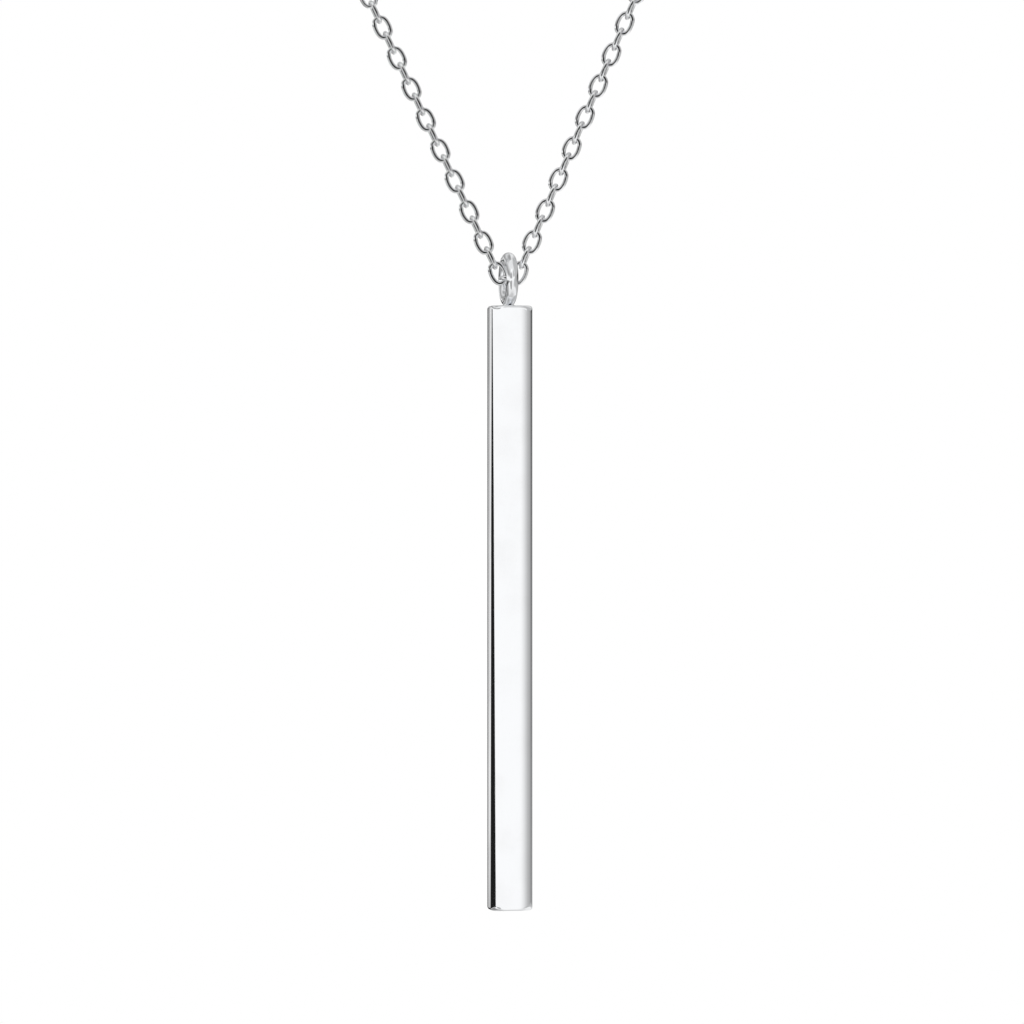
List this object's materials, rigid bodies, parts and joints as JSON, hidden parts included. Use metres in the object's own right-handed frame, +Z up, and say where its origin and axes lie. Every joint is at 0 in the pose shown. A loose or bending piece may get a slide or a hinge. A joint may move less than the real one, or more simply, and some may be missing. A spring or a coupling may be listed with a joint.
{
  "type": "bar pendant necklace",
  "caption": "Slim four-sided polished bar pendant with a soldered top ring, free to swing on a fine oval-link chain that closes in a round clasp at the nape.",
  "frame": {"origin": "middle of the clasp at the nape, where the necklace hangs on the neck", "axes": "+Z up, -Y to the front where the pendant hangs, +X to the wearer's left"},
  "size_m": [0.1084, 0.1204, 0.1666],
  "materials": {
    "polished_silver": "mirror polished sterling silver",
    "chain_silver": "bright drawn silver wire"
  },
  "bodies": {
    "necklace": {"front_links": "chain_silver", "chain_left": "chain_silver", "chain_right": "chain_silver", "clasp": "polished_silver", "end_ring": "polished_silver"},
    "drop": {"pendant": "polished_silver"}
  },
  "joints": [
    {"name": "pendant_swing", "type": "hinge", "parent": "necklace", "child": "drop", "pos_m": [0.00352, -0.11709, -0.12267], "axis": [0.9816, 0.1908, 0], "range_deg": [-90, 90]}
  ]
}
